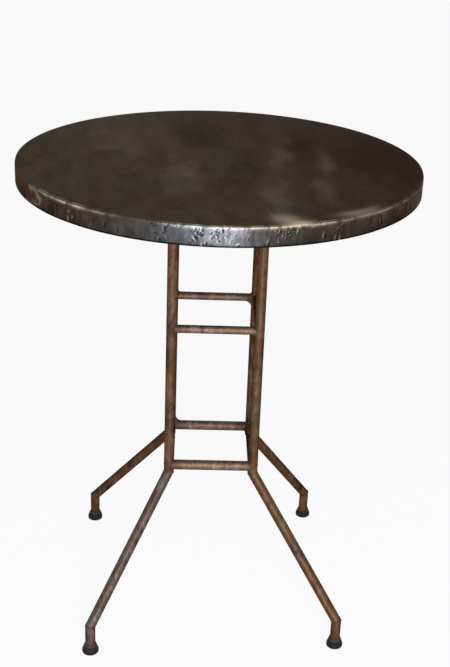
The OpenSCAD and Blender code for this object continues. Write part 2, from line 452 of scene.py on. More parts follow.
@dataclass(frozen=True)
class CladSheet(Finish):
    """Sheet steel, brown patina under wax: clouded near-black on top under painted reflections, worn
    bright on the hammered rim under painted sheen and highlights.

    The faces are the worn areas of the rim's side and its painted sheen, and the bends the worn metal and
    painted highlights of its rounded upper edge.
    """

    name: str = "Sheet steel, brown patina, waxed"
    specular: float = 0.0
    edge_tint: str = "#B0ADAA"
    dull_share: float = 0.35
    rubbed_share: float = 0.6
    olive_black: str = "#4C4439"
    red_black: str = "#45342B"
    # painted shade in the dents over their patina: share of the crown colour left there
    dent_shade_share: float = 0.17
    # Rim side: brown patina at the ends with a painted warm reflection, and a painted grey-blue sheen
    # round the front
    faces: tuple[RimArea, ...] = (
        RimArea(180.0, 24.0, RimTint.RUST_AND_WARM_SHEEN, 1.0),
        RimArea(-8.0, 20.0, RimTint.RUST_AND_WARM_SHEEN, 0.4),
        RimArea(-151.5, 1.8, RimTint.SCUFF, 0.8),
        RimArea(-98.0, 30.0, RimTint.SMOKE, 0.9),
        RimArea(-98.0, 14.0, RimTint.STEEL_SHEEN, 0.9),
        RimArea(100.0, 50.0, RimTint.SMOKE, 0.5),
    )
    # Rounded edge: painted highlights, white at the front and golden to each side, over worn metal and
    # wax
    bends: tuple[RimArea, ...] = (
        RimArea(-137.0, 9.0, RimTint.WAX_AND_GLINT, 0.95),
        RimArea(-95.0, 11.0, RimTint.BARE_GLINT, 0.85),
        RimArea(-73.0, 13.0, RimTint.WAX_AND_GLINT, 0.8),
        RimArea(-40.0, 22.0, RimTint.WAX_AND_GLINT, 0.25),
        RimArea(90.0, 60.0, RimTint.WAX_AND_GLINT, 0.25),
    )
    warp_deg: tuple[float, float] = (4.0, 2.0)
    # widths of the painted highlight band along the rounded edge, outwards and inwards
    band_out_mm: float = 4.4
    band_in_mm: float = 2.4
    side_mm: tuple[float, float] = (-1.2, 4.5)
    fray_mm: tuple[float, float] = (1.6, 0.9)
    # strength of the painted highlights beside the dents
    lip_glint: float = 0.42
    streaked: float = 0.28
    blotched: float = 0.2
    low_shade: float = 0.30
    # strength of the painted shade line along the foot of the rim
    foot_shade: float = 0.85
    metal_hidden: float = 0.85
    # Painted reflections of the room on the top, pale and dark, laid in as soft patches of patina
    reflection_clouds: tuple[Cloud, ...] = (
        Cloud(-30.0, 190.0, 55.0, 120.0, 0.0, 0.5, Tint.SHADE),
        Cloud(-170.0, 100.0, 85.0, 180.0, 0.0, 0.45, Tint.HAZE),
        Cloud(-81.0, -90.0, 42.0, 110.0, 0.0, 0.75, Tint.HAZE),
        Cloud(-104.0, 45.0, 45.0, 70.0, 0.0, 0.55, Tint.MAUVE),
        Cloud(92.0, -170.0, 30.0, 90.0, -6.0, 0.65, Tint.HAZE),
        Cloud(105.0, 245.0, 32.0, 110.0, -8.0, 0.7, Tint.MAUVE),
        Cloud(122.0, 35.0, 26.0, 95.0, -8.0, 0.72, Tint.HAZE),
        Cloud(186.0, 140.0, 38.0, 120.0, -10.0, 0.45, Tint.SHADE),
        Cloud(340.0, 20.0, 100.0, 190.0, 0.0, 0.55, Tint.SHADE),
        Cloud(172.0, -210.0, 19.0, 85.0, -8.0, 0.68, Tint.HAZE),
        Cloud(205.0, -20.0, 14.0, 85.0, -8.0, 0.62, Tint.HAZE),
        Cloud(80.0, -265.0, 26.0, 75.0, -5.0, 0.7, Tint.HAZE),
        # pale painted reflections near the front edge, and a painted glint on the back edge
        Cloud(88.0, -360.0, 26.0, 30.0, 0.0, 0.85, Tint.PALE_REFLECTION, 9.0),
        Cloud(108.0, -380.0, 30.0, 12.0, 15.0, 0.8, Tint.STRAW, 7.0),
        Cloud(222.0, -318.0, 44.0, 16.0, 30.0, 0.6, Tint.PALE_REFLECTION, 9.0),
        Cloud(-200.0, 344.0, 55.0, 10.0, 30.0, 1.0, Tint.OLIVE, 6.0),
    )
    red_over_mm: tuple[float, float] = (-50.0, 300.0)
    cloud_rim: float = 2.6
    cloud_drift: float = 1.2
    stretch: tuple[float, float, float] = (1.0, 0.38, 1.0)
    cool_cast: str = "#F2FAF4"
    warm_cast: str = "#FFF2F0"
    cast_mm: float = 70.0
    cast_over: tuple[float, float] = (0.35, 0.65)
    smudge_mm: float = 34.0
    smudge_over: tuple[float, float] = (0.30, 0.72)
    smudge_lift: tuple[float, float] = (0.84, 1.20)
    fleck_mm: float = 8.0
    fleck_lift: float = 0.08
    drift_mm: float = 150.0
    drift_lift: float = 0.16
    rough: tuple[float, float] = (0.24, 0.40)
    grain_mm: float = 6.0
    relief_mm: float = 0.012

    def paint(self, tree: bpy.types.NodeTree, shader: bpy.types.Node) -> None:
        """Varies the patina painted on the mesh, with its painted reflections, sheen, highlights and
        shade, whose alpha says how much bare metal shows.

        Args:
            tree: Node tree of the material.
            shader: Its Principled shader.
        """
        where = self.position(tree)
        patina = add_node(
            tree, "ShaderNodeAttribute", {"attribute_type": "GEOMETRY", "attribute_name": "patina"})
        drawn = add_node(
            tree, "ShaderNodeMapping", values={"Scale": self.stretch}, links={"Vector": where}
        ).outputs["Vector"]
        smudges = self.noise(tree, drawn, self.smudge_mm, 3.0, 0.5, 0.3)
        drifts = self.noise(tree, drawn, self.drift_mm, 2.0, 0.5, 0.3)
        flecks = self.noise(tree, drawn, self.fleck_mm, 2.0, 0.5)
        lift = self.between(tree, smudges, self.smudge_over, self.smudge_lift)
        for layer, reach in ((drifts, self.drift_lift), (flecks, self.fleck_lift)):
            lift = add_node(
                tree, "ShaderNodeMath", {"operation": "MULTIPLY"},
                links={0: lift, 1: self.between(tree, layer, NOISE, (1.0 - reach, 1.0 + reach))},
            ).outputs["Value"]
        colours = add_node(
            tree, "ShaderNodeVectorMath", {"operation": "SCALE"},
            links={0: patina.outputs["Color"], "Scale": lift},
        ).outputs["Vector"]
        casts = self.noise(tree, drawn, self.cast_mm, 2.0, 0.5)
        tint = self.between(tree, casts, self.cast_over, (0.0, 1.0))
        colours = add_node(
            tree, "ShaderNodeVectorMath", {"operation": "MULTIPLY"},
            links={0: colours, 1: self.blend(tree, tint, self.cool_cast, self.warm_cast)},
        ).outputs["Vector"]
        tree.links.new(colours, shader.inputs["Base Color"])
        tree.links.new(self.between(tree, smudges, NOISE, self.rough), shader.inputs["Roughness"])
        tree.links.new(patina.outputs["Alpha"], shader.inputs["Metallic"])
        grain = self.noise(tree, where, self.grain_mm, 2.0, 0.5)
        self.relief(tree, shader, grain, self.relief_mm)

    def laid_over(
        self, ground: np.ndarray, angle_deg: np.ndarray, areas: Sequence[RimArea]
    ) -> np.ndarray:
        """Lays the tints of worn areas over a ground colour.

        Args:
            ground: Linear colour of each place, or one for all.
            angle_deg: Angles of the places round the rim.
            areas: Worn areas.

        Returns:
            Linear colour of each place.
        """
        colour = np.broadcast_to(ground, (len(angle_deg), 3))
        for area in areas:
            cover = area.cover(angle_deg)[:, None]
            colour = colour * (1 - cover) + np.array(linear(area.tint.value)[:3]) * cover
        return colour

    def hidden_metal(self, angle_deg: np.ndarray) -> np.ndarray:
        """How far thick patina hides the metal at some angles round the rim, from 0 to 1."""
        thick = [area.cover(angle_deg) for area in self.faces if area.tint is RimTint.RUST_AND_WARM_SHEEN]
        return np.clip(sum(thick), 0.0, 1.0)


@dataclass(frozen=True)
class MouldedRubber(Finish):
    """Moulded black rubber: matt, with brown dust on what faces up."""

    name: str = "Rubber, moulded"
    ior: float = 1.52
    specular: float = 0.2
    black: str = "#131211"
    dust: str = "#4E3B2E"
    dust_from_mm: float = 15.0
    dust_full_mm: float = 21.0
    speck_mm: float = 4.0
    relief_mm: float = 0.12
    rough: tuple[float, float] = (0.6, 0.85)

    def paint(self, tree: bpy.types.NodeTree, shader: bpy.types.Node) -> None:
        """Black, with rust dust washed down over the collar in an uneven line.

        Args:
            tree: Node tree of the material.
            shader: Its Principled shader.
        """
        where = self.position(tree)
        specks = self.noise(tree, where, self.speck_mm, 5.0, 0.6)
        height = add_node(tree, "ShaderNodeSeparateXYZ", links={0: where}).outputs["Z"]
        washed = add_node(
            tree, "ShaderNodeMath", {"operation": "MULTIPLY_ADD"}, {1: self.speck_mm * MM},
            {0: specks, 2: height},
        ).outputs["Value"]
        start = (self.dust_from_mm + self.speck_mm / 2) * MM
        full = (self.dust_full_mm + self.speck_mm / 2) * MM
        settled = self.between(tree, washed, (start, full), (0.0, 1.0))
        colours = self.blend(tree, settled, self.black, self.dust)
        tree.links.new(colours, shader.inputs["Base Color"])
        tree.links.new(self.between(tree, specks, NOISE, self.rough), shader.inputs["Roughness"])
        self.relief(tree, shader, specks, self.relief_mm)


@dataclass(frozen=True)
class BoardWood(Finish):
    """Birch plywood, sanded: pale wood with long soft grain."""

    name: str = "Birch plywood, sanded"
    pale: str = "#B9936A"
    dark: str = "#8F6B48"
    grain_mm: float = 4.0
    stretch: tuple[float, float, float] = (0.033, 1.0, 1.0)
    relief_mm: float = 0.1
    rough: tuple[float, float] = (0.55, 0.7)

    def paint(self, tree: bpy.types.NodeTree, shader: bpy.types.Node) -> None:
        """Grain along X, stretched thirty times.

        Args:
            tree: Node tree of the material.
            shader: Its Principled shader.
        """
        where = self.position(tree)
        stretched = add_node(
            tree, "ShaderNodeMapping", values={"Scale": self.stretch}, links={"Vector": where}
        ).outputs["Vector"]
        grain = self.noise(tree, stretched, self.grain_mm, 5.0, 0.6, 1.2)
        colours = add_node(
            tree, "ShaderNodeValToRGB", links={"Fac": grain},
            stops=[(0.35, self.pale), (0.68, self.dark)],
        ).outputs["Color"]
        tree.links.new(colours, shader.inputs["Base Color"])
        tree.links.new(self.between(tree, grain, NOISE, self.rough), shader.inputs["Roughness"])
        self.relief(tree, shader, grain, self.relief_mm)


@dataclass(frozen=True)
class ZincSteel(Finish):
    """Zinc-plated steel, dulled: grey metal with faint stains."""

    name: str = "Steel, zinc plated"
    metallic: float = 1.0
    pale: str = "#A5A4A0"
    stain: str = "#6E675E"
    stain_mm: float = 3.0
    stain_over: tuple[float, float] = (0.45, 0.65)
    rough: tuple[float, float] = (0.35, 0.55)

    def paint(self, tree: bpy.types.NodeTree, shader: bpy.types.Node) -> None:
        """Grey with stains a few millimetres wide.

        Args:
            tree: Node tree of the material.
            shader: Its Principled shader.
        """
        stains = self.noise(tree, self.position(tree), self.stain_mm, 4.0, 0.6)
        share = self.between(tree, stains, self.stain_over, (0.0, 1.0))
        tree.links.new(self.blend(tree, share, self.pale, self.stain), shader.inputs["Base Color"])
        tree.links.new(self.between(tree, stains, NOISE, self.rough), shader.inputs["Roughness"])


@dataclass(frozen=True)
class StudioFloor(Finish):
    """Matt painted studio floor: pale and even, and nearly white to the eye."""

    name: str = "Studio floor, matt paint"
    specular: float = 0.1
    pale: str = "#EDECEA"
    rough: float = 0.9
    shown: str = "#FFFFFF"
    glow: float = 0.92

    def paint(self, tree: bpy.types.NodeTree, shader: bpy.types.Node) -> None:
        """Shows a pale floor to eye and metal that still takes the shadow of the table.

        Args:
            tree: Node tree of the material.
            shader: Its Principled shader.
        """
        shader.inputs["Base Color"].default_value = linear(self.pale)
        shader.inputs["Roughness"].default_value = self.rough
        white = add_node(
            tree, "ShaderNodeEmission", values={"Color": linear(self.shown), "Strength": 1.0})
        share = add_node(
            tree, "ShaderNodeMath", {"operation": "MULTIPLY"}, {1: self.glow}, {0: seen_ray(tree)}
        ).outputs["Value"]
        mixed = add_node(
            tree, "ShaderNodeMixShader",
            links={0: share, 1: shader.outputs["BSDF"], 2: white.outputs["Emission"]},
        )
        tree.links.new(mixed.outputs["Shader"], tree.nodes["Material Output"].inputs["Surface"])


class PeriodicNoise:
    """Smooth noise over a plane that repeats along its first direction."""

    def __init__(self, seed: int, across: int, along: int) -> None:
        """Fills a lattice with seeded values.

        Args:
            seed: Seed of the values.
            across: Cells once round the repeating direction.
            along: Cells in the other direction.
        """
        self.cells = np.random.default_rng(seed).uniform(-1.0, 1.0, (across, along + 2))

    def at(self, u: np.ndarray, v: np.ndarray) -> np.ndarray:
        """Value at u, which repeats every 1, and v from 0 to 1.

        Args:
            u: Places along the repeating direction.
            v: Places along the other direction.

        Returns:
            Values from -1 to 1.
        """
        across, rows = self.cells.shape
        x = (u % 1.0) * across
        y = np.clip(v, 0.0, 1.0) * (rows - 2)
        left = np.floor(x).astype(int)
        low = np.floor(y).astype(int)
        fx = x - left
        fy = y - low
        fx = fx * fx * (3 - 2 * fx)
        fy = fy * fy * (3 - 2 * fy)
        right = (left + 1) % across
        left = left % across
        below = self.cells[left, low] * (1 - fx) + self.cells[right, low] * fx
        above = self.cells[left, low + 1] * (1 - fx) + self.cells[right, low + 1] * fx
        return below * (1 - fy) + above * fy


def ease(low: float, high: float, value: np.ndarray) -> np.ndarray:
    """Smooth step from 0 at low to 1 at high."""
    share = np.clip((value - low) / (high - low), 0.0, 1.0)
    return share * share * (3 - 2 * share)


def rounded(corners: Sequence[tuple[float, float, float]], steps: int = 5) -> np.ndarray:
    """Rounds the corners of an open line.

    Args:
        corners: Places across and up, each with the radius of its corner, where 0 stays sharp.
        steps: Points per rounded corner, less one.

    Returns:
        The points of the rounded line, one row each.
    """
    places = [np.array(corner[:2]) for corner in corners]
    line = [places[0]]
    for before, here, after, corner in zip(places, places[1:], places[2:], corners[1:]):
        back = (before - here) / np.linalg.norm(before - here)
        on = (after - here) / np.linalg.norm(after - here)
        radius = corner[2]
        half = math.acos(float(np.clip(back @ on, -1.0, 1.0))) / 2
        if radius <= 0.0 or half > math.radians(STRAIGHT_DEG):
            line.append(here)
            continue
        centre = here + (back + on) / np.linalg.norm(back + on) * radius / math.sin(half)
        first = here + back * radius / math.tan(half) - centre
        last = here + on * radius / math.tan(half) - centre
        for share in np.linspace(0.0, 1.0, steps + 1):
            spoke = first * (1 - share) + last * share
            line.append(centre + spoke / np.linalg.norm(spoke) * radius)
    line.append(places[-1])
    return np.array(line)


@dataclass
class MeshDraft:
    """Vertices and faces of a mesh while it is built ring by ring."""

    points: list[np.ndarray] = field(default_factory=list)
    faces: list[tuple[int, ...]] = field(default_factory=list)
    count: int = 0

    def ring(self, places: np.ndarray) -> range:
        """Adds a ring of points.

        Args:
            places: The points, one row each.

        Returns:
            Their numbers.
        """
        self.points.append(np.asarray(places, float))
        numbers = range(self.count, self.count + len(places))
        self.count += len(places)
        return numbers

    def stitch(self, first: range, second: range) -> None:
        """Joins two closed rings that start at the same angle.

        Args:
            first: Numbers of one ring.
            second: Numbers of the other, with as many points or fewer or more.
        """
        m, n = len(first), len(second)
        if m == n:
            for i in range(m):
                j = (i + 1) % m
                self.faces.append((first[i], first[j], second[j], second[i]))
            return
        i = j = 0
        while i < m or j < n:
            if j >= n or (i < m and (i + 1) * n <= (j + 1) * m):
                self.faces.append((first[i % m], first[(i + 1) % m], second[j % n]))
                i += 1
            else:
                self.faces.append((first[i % m], second[(j + 1) % n], second[j % n]))
                j += 1

    def cap(self, ring: range, centre: Sequence[float]) -> None:
        """Closes a ring with a fan round a centre point.

        Args:
            ring: Numbers of the ring.
            centre: Place of the centre point.
        """
        middle = self.ring(np.array([centre]))[0]
        for i in range(len(ring)):
            self.faces.append((ring[i], ring[(i + 1) % len(ring)], middle))

    def piece(self, name: str, sharp_deg: float = 40.0) -> bpy.types.Object:
        """Makes the mesh an object with outward normals.

        Args:
            name: Name of the object.
            sharp_deg: Angle past which an edge stays sharp.

        Returns:
            The object, linked to the scene.
        """
        mesh = bpy.data.meshes.new(name)
        mesh.from_pydata(np.concatenate(self.points).tolist(), [], self.faces)
        work = bmesh.new()
        work.from_mesh(mesh)
        bmesh.ops.recalc_face_normals(work, faces=work.faces)
        work.to_mesh(mesh)
        work.free()
        mesh.shade_smooth()
        mesh.set_sharp_from_angle(angle=math.radians(sharp_deg))
        thing = bpy.data.objects.new(name, mesh)
        bpy.context.scene.collection.objects.link(thing)
        return thing


def settle(piece: bpy.types.Object, material: bpy.types.Material, slot: Slot, *nodes: str) -> None:
    """Dresses a new piece, rides it on the table and hides the CAD nodes that it replaces.

    Args:
        piece: The new piece.
        material: Its material.
        slot: Not used.
        nodes: CAD nodes that it replaces.
    """
    piece.data.materials.clear()
    piece.data.materials.append(material)
    if nodes:
        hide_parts(*nodes)
    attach(piece, ROOT)
    LOG.info("%s: %d vertices", piece.name, len(piece.data.vertices))


def dress(names: Iterable[str], material: bpy.types.Material) -> None:
    """Gives carried-over CAD nodes a material.

    Args:
        names: Nodes to dress.
        material: The material they get.
    """
    for name in names:
        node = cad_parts[name]
        if not node.material_slots:
            node.data.materials.append(material)
        for material_slot in node.material_slots:
            material_slot.material = material
        LOG.info("%s: %s", name, material.name)


@dataclass(frozen=True)
class BeatenPatch:
    """Cluster of hammer strokes: angle round the rim, share of the way down, and the spread of each."""

    angle_deg: float
    spread_deg: float
    fall: float
    spread_fall: float
    strokes: int
    force: float


@dataclass(frozen=True)
class Stroke:
    """One hammer stroke on the rim, in metres along the girth and down the outline."""

    centre: float
    height: float
    half_width: float
    half_length: float
    lean: float
    deepest: float


@dataclass(frozen=True)
class StrokeKind:
    """Kind of hammer stroke: the ranges of its size, and the middle and spread of its lean."""

    half_width_mm: tuple[float, float]
    half_length_mm: tuple[float, float]
    lean_deg: tuple[float, float]
    depth: tuple[float, float]

    def drawn(
        self, draw: np.random.Generator, centre: float, height: float, force: float, limit: float
    ) -> Stroke:
        """Draws one stroke of the kind.

        Args:
            draw: Generator of the random numbers.
            centre: Distance along the girth.
            height: Distance down the outline.
            force: Share of the full force.
            limit: Depth of the deepest dent.

        Returns:
            The stroke.
        """
        return Stroke(
            centre, height, draw.uniform(*self.half_width_mm) * MM,
            draw.uniform(*self.half_length_mm) * MM, math.radians(draw.normal(*self.lean_deg)),
            draw.uniform(*self.depth) * force * limit)


class SheetNoise(Enum):
    """Noises of the sheet: step from its seed, and number of cells across and along."""

    BROAD_SAG = (2, 6, 6)
    SMALL_SAG = (3, 19, 19)
    RIPPLE = (4, 46, 2)
    FINE_RIPPLE = (5, 620, 9)
    WARP = (6, 60, 2)
    FINE_WARP = (7, 210, 5)
    STREAKS = (8, 540, 2)
    CLOUD_SHIFT = (9, 13, 13)
    CLOUD_DRIFT = (10, 13, 13)
    BLOTCHES = (11, 200, 3)
    WEAR = (12, 280, 1)
    FRAY = (13, 90, 1)
    FINE_FRAY = (14, 420, 1)


@dataclass
class CladTop:
    """The sheet over the boards, its hammered rim and its folded hem."""

    upper_edge: float = 5.0 * MM
    lower_edge: float = 2.5 * MM
    sheet: float = 1.0 * MM
    hem: float = 24.0 * MM
    tabs: int = 24
    notch: float = 7.0 * MM
    columns: int = 2200
    flat_band: float = 14.0 * MM
    band_step: float = 1.6 * MM
    upper_steps: int = 8
    lower_steps: int = 5
    wall_step: float = 1.1 * MM
    hem_steps: tuple[float, ...] = (0.3, 0.65, 1.0)
    disc_step: tuple[float, float] = (3.0 * MM, 9.0 * MM)
    disc_growth: float = 0.4
    disc_spacing: float = 7.0 * MM
    disc_hub: float = 12.0 * MM
    dent_limit: float = 0.75 * MM
    ripple: float = 0.12 * MM
    fine_ripple: float = 0.05 * MM
    broad_sag: float = 0.26
    small_sag: float = 0.05
    lip_reach: float = 2.6
    lip_aside: float = 1.35
    lip_up: float = 0.3
    soft_stroke: StrokeKind = StrokeKind((1.4, 3.4), (3.0, 9.0), (8.0, 20.0), (0.25, 0.7))
    hard_stroke: StrokeKind = StrokeKind((1.3, 2.8), (2.2, 5.6), (12.0, 26.0), (0.6, 1.0))
    stroke_start: float = 0.45
    strokes: int = 2000
    worked: float = 0.06
    beaten: tuple[BeatenPatch, ...] = (
        BeatenPatch(-139.0, 6.0, 0.03, 0.03, 26, 0.5),
        BeatenPatch(-110.3, 0.8, 0.24, 0.12, 6, 0.7),
        BeatenPatch(-107.4, 0.6, 0.18, 0.12, 5, 1.0),
        BeatenPatch(-108.5, 1.2, 0.62, 0.14, 6, 0.6),
        BeatenPatch(-103.0, 2.4, 0.05, 0.05, 8, 0.8),
        BeatenPatch(-99.0, 0.8, 0.50, 0.16, 11, 0.8),
        BeatenPatch(-95.2, 1.2, 0.48, 0.20, 14, 0.7),
        BeatenPatch(-89.5, 1.4, 0.50, 0.20, 6, 0.3),
        BeatenPatch(-77.0, 1.6, 0.28, 0.13, 28, 0.75),
        BeatenPatch(-78.5, 0.7, 0.70, 0.10, 4, 0.7),
        BeatenPatch(-70.0, 1.5, 0.05, 0.06, 8, 0.8),
        BeatenPatch(-61.5, 1.3, 0.40, 0.18, 6, 0.6),
        BeatenPatch(-55.0, 8.0, 0.04, 0.04, 20, 0.5),
        BeatenPatch(-24.0, 5.0, 0.30, 0.20, 12, 0.5),
        BeatenPatch(22.0, 4.0, 0.40, 0.20, 24, 0.8),
        BeatenPatch(58.0, 7.0, 0.30, 0.20, 44, 0.9),
        BeatenPatch(96.0, 5.0, 0.45, 0.20, 50, 1.0),
        BeatenPatch(131.0, 4.0, 0.35, 0.20, 32, 0.8),
        BeatenPatch(168.0, 5.0, 0.40, 0.20, 24, 0.7),
    )
    seed: int = 11
    finish: CladSheet = CladSheet()

    def __post_init__(self) -> None:
        """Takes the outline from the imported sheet."""
        low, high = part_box("top_sheet")
        self.radius = high.x
        self.top = high.z
        self.bottom = low.z
        self.wall_height = self.top - self.bottom - self.upper_edge - self.lower_edge
        self.angles = np.linspace(0.0, 2 * math.pi, self.columns, endpoint=False)

    def noise(self, kind: SheetNoise) -> PeriodicNoise:
        """One of the noises of this sheet."""
        step, across, along = kind.value
        return PeriodicNoise(self.seed + step, across, along)

    def profile(self) -> tuple[np.ndarray, np.ndarray, np.ndarray, np.ndarray]:
        """Outline of the outer face from the flat of the top to the hem.

        Returns:
            Distance along the outline, radius, height and outward normal of each row.
        """
        r_upper = self.radius - self.upper_edge
        rows: list[tuple[float, float, float, float]] = []
        for i in range(round(self.flat_band / self.band_step)):
            rows.append((r_upper - self.flat_band + i * self.band_step, self.top, 0.0, 1.0))
        for i in range(self.upper_steps + 1):
            turn = math.radians(90 * i / self.upper_steps)
            rows.append((
                r_upper + self.upper_edge * math.sin(turn),
                self.top - self.upper_edge * (1 - math.cos(turn)), math.sin(turn), math.cos(turn),
            ))
        steps = round(self.wall_height / self.wall_step)
        for i in range(1, steps + 1):
            height = self.top - self.upper_edge - self.wall_height * i / steps
            rows.append((self.radius, height, 1.0, 0.0))
        for i in range(1, self.lower_steps + 1):
            turn = math.radians(90 * i / self.lower_steps)
            rows.append((
                self.radius - self.lower_edge * (1 - math.cos(turn)),
                self.bottom + self.lower_edge * (1 - math.sin(turn)), math.cos(turn), -math.sin(turn),
            ))
        table = np.array(rows)
        steps_along = np.hypot(np.diff(table[:, 0]), np.diff(table[:, 1]))
        along = np.concatenate([[0.0], np.cumsum(steps_along)])
        return along, table[:, 0], table[:, 1], table[:, 2:4]

    def stroke_plan(self, length: float) -> Iterator[Stroke]:
        """Plans the hammer strokes: long and shallow all round, short and dense in the beaten patches.

        Args:
            length: Length of the outline.

        Yields:
            The strokes.
        """
        draw = np.random.default_rng(self.seed)
        for _ in range(self.strokes):
            centre = math.radians(draw.uniform(-180.0, 180.0)) * self.radius
            height = draw.uniform(self.stroke_start * self.flat_band, length)
            stroke = self.soft_stroke.drawn(draw, centre, height, 1.0, self.dent_limit)
            if draw.uniform() < self.worked:
                yield stroke
        for patch in self.beaten:
            for _ in range(patch.strokes):
                centre = math.radians(draw.normal(patch.angle_deg, patch.spread_deg)) * self.radius
                fall = draw.normal(patch.fall, patch.spread_fall)
                height = self.flat_band + fall * (length - self.flat_band)
                yield self.hard_stroke.drawn(draw, centre, height, patch.force, self.dent_limit)

    def hammered(self, along: np.ndarray) -> tuple[np.ndarray, np.ndarray]:
        """Dents of the hammer strokes over the rim, and painted highlights beside them.

        Args:
            along: Distance along the outline of each row.

        Returns:
            Depth in metres and strength of the painted highlights beside the dents from 0 to 1, by angle
            and outline row.
        """
        step = 2 * math.pi * self.radius / self.columns
        depth = np.zeros((self.columns, len(along)))
        lip_glints = np.zeros((self.columns, len(along)))
        for stroke in self.stroke_plan(float(along[-1])):
            middle = round(stroke.centre / step)
            reach = self.lip_reach * stroke.half_width
            span = math.ceil((stroke.half_length * abs(math.sin(stroke.lean)) + reach) / step) + 1
            columns = np.arange(middle - span, middle + span + 1)
            rows = np.nonzero(np.abs(along - stroke.height) < stroke.half_length + reach)[0]
            du = (columns * step - stroke.centre)[:, None]
            dv = (along[rows] - stroke.height)[None, :]
            across = (du * math.cos(stroke.lean) + dv * math.sin(stroke.lean)) / stroke.half_width
            length = (-du * math.sin(stroke.lean) + dv * math.cos(stroke.lean)) / stroke.half_length
            dent = stroke.deepest * np.clip(1.0 - across ** 2 - length ** 2, 0.0, 1.0)
            beside = 1.0 - (across + self.lip_aside) ** 2 - (length + self.lip_up) ** 2
            beside = np.clip(beside, 0.0, 1.0)
            lip = stroke.deepest / self.dent_limit * beside
            where = np.ix_(columns % self.columns, rows)
            depth[where] = np.maximum(depth[where], dent)
            lip_glints[where] = np.maximum(lip_glints[where], lip)
        return depth, lip_glints * (1.0 - np.clip(2.0 * depth / self.dent_limit, 0.0, 1.0))

    def sag(self, x: np.ndarray, y: np.ndarray) -> np.ndarray:
        """How far the uneven sheet dips below its highest level.

        Args:
            x: Places across, in metres.
            y: Places towards the back, in metres.

        Returns:
            Depth of each place, in metres.
        """
        u = x / (2 * self.radius) + 0.5
        v = y / (2 * self.radius) + 0.5
        broad = self.noise(SheetNoise.BROAD_SAG).at(u * INSIDE, v)
        small = self.noise(SheetNoise.SMALL_SAG).at(u * INSIDE, v)
        return (self.broad_sag * (1 + broad) + self.small_sag * (1 + small)) * 0.5 * MM

    def build(self) -> bpy.types.Object:
        """Builds the sheet as one closed skin.

        Returns:
            The finished piece.
        """
        draft = MeshDraft()
        along, radii, heights, normals = self.profile()
        strokes, lip_glints = self.hammered(along)
        share = (self.angles / (2 * math.pi))[:, None]
        span = (along / along[-1])[None, :]
        ripple = self.noise(SheetNoise.RIPPLE).at(share, span)
        fine = self.noise(SheetNoise.FINE_RIPPLE).at(share, span)
        fade = ease(0.0, self.flat_band, along)[None, :]
        depth = (strokes + self.ripple * (1 + ripple) + self.fine_ripple * (1 + fine)) * fade
        depth = np.minimum(depth, self.dent_limit)
        cos, sin = np.cos(self.angles)[:, None], np.sin(self.angles)[:, None]
        reach = radii[None, :] - normals[None, :, 0] * depth
        z = heights[None, :] - normals[None, :, 1] * depth
        z = z - self.sag(reach * cos, reach * sin) * np.maximum(normals[None, :, 1], 0.0)
        rows = [
            draft.ring(np.stack([reach[:, i] * cos[:, 0], reach[:, i] * sin[:, 0], z[:, i]], 1))
            for i in range(len(along))
        ]
        for first, second in zip(rows, rows[1:]):
            draft.stitch(first, second)
        self.build_disc(draft, rows[0], float(radii[0]))
        self.build_hem(draft, rows[-1])
        piece = draft.piece("hammered_clad_top", sharp_deg=50.0)
        self.paint_patina(piece, depth, lip_glints, along)
        return piece

    def build_disc(self, draft: MeshDraft, edge: range, edge_radius: float) -> None:
        """Fills the top with rings that lie further apart towards the centre.

        Args:
            draft: Mesh under construction.
            edge: First ring of the rim.
            edge_radius: Radius of that ring.
        """
        outer = edge
        radius = edge_radius
        least, most = self.disc_step
        while radius > self.disc_hub:
            radius -= max(least, min(most, self.disc_growth * (edge_radius - radius) + least))
            quarter = round(2 * math.pi * radius / self.disc_spacing / 4)
            count = max(12, min(self.columns, 4 * quarter))
            if radius <= self.disc_hub:
                break
            turn = np.linspace(0.0, 2 * math.pi, count, endpoint=False)
            x, y = radius * np.cos(turn), radius * np.sin(turn)
            inner = draft.ring(np.stack([x, y, self.top - self.sag(x, y)], 1))
            draft.stitch(outer, inner)
            outer = inner
        dip = float(self.sag(np.array([0.0]), np.array([0.0]))[0])
        draft.cap(outer, (0.0, 0.0, self.top - dip))

    def build_hem(self, draft: MeshDraft, edge: range) -> None:
        """Folds the hem under the boards, notched between its tabs, and closes the inside.

        Args:
            draft: Mesh under construction.
            edge: Last ring of the rim.
        """
        turn = self.angles
        tab = 2 * math.pi / self.tabs
        off_notch = np.abs((turn + tab / 2) % tab - tab / 2) * (self.radius - self.hem)
        depth = self.hem - self.lower_edge - self.sheet
        inner = self.radius - self.hem + depth * np.clip(1 - off_notch / (self.notch / 2), 0.0, 1.0)
        outer = self.radius - self.lower_edge
        rows = [edge]
        for part in self.hem_steps:
            radius = outer + (inner - outer) * part
            rows.append(draft.ring(np.stack(
                [radius * np.cos(turn), radius * np.sin(turn), np.full(len(turn), self.bottom)], 1)))
        inside = self.radius - self.sheet
        floor = self.bottom + self.sheet
        ceiling = self.top - self.sheet
        wall = np.full(len(turn), inside)
        for radius, height in ((inner, floor), (wall, floor), (wall, ceiling)):
            rows.append(draft.ring(np.stack(
                [radius * np.cos(turn), radius * np.sin(turn), np.full(len(turn), height)], 1)))
        for first, second in zip(rows, rows[1:]):
            draft.stitch(first, second)
        draft.cap(rows[-1], (0.0, 0.0, ceiling))

